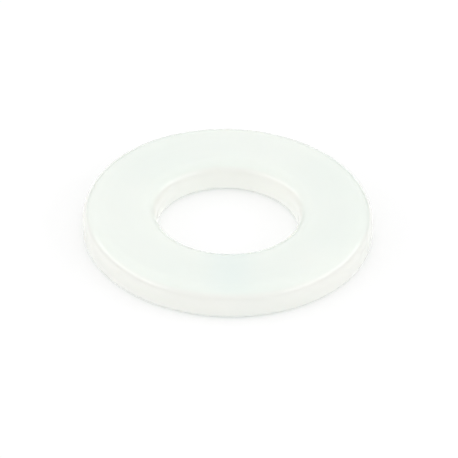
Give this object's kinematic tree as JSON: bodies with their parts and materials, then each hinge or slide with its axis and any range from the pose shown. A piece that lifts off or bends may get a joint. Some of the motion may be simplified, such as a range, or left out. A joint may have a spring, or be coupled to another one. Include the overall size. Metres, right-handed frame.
{
  "type": "flat washer",
  "caption": "Plain round flat washer in translucent white nylon, with a through bore, a generously rounded upper edge and a tighter lower edge.",
  "frame": {"origin": "centre of the lower bearing face, on the bore's axis", "axes": "+Z along the bore's axis, out of the upper face, the one with the more rounded edges; X and Y are any two directions across, as the washer is round"},
  "size_m": [0.009, 0.009, 0.001],
  "materials": {
    "natural_nylon": "translucent natural nylon as moulded, satin, faintly green-white on the faces and cream at the walls"
  },
  "bodies": {
    "root": {"washer": "natural_nylon"}
  },
  "joints": []
}
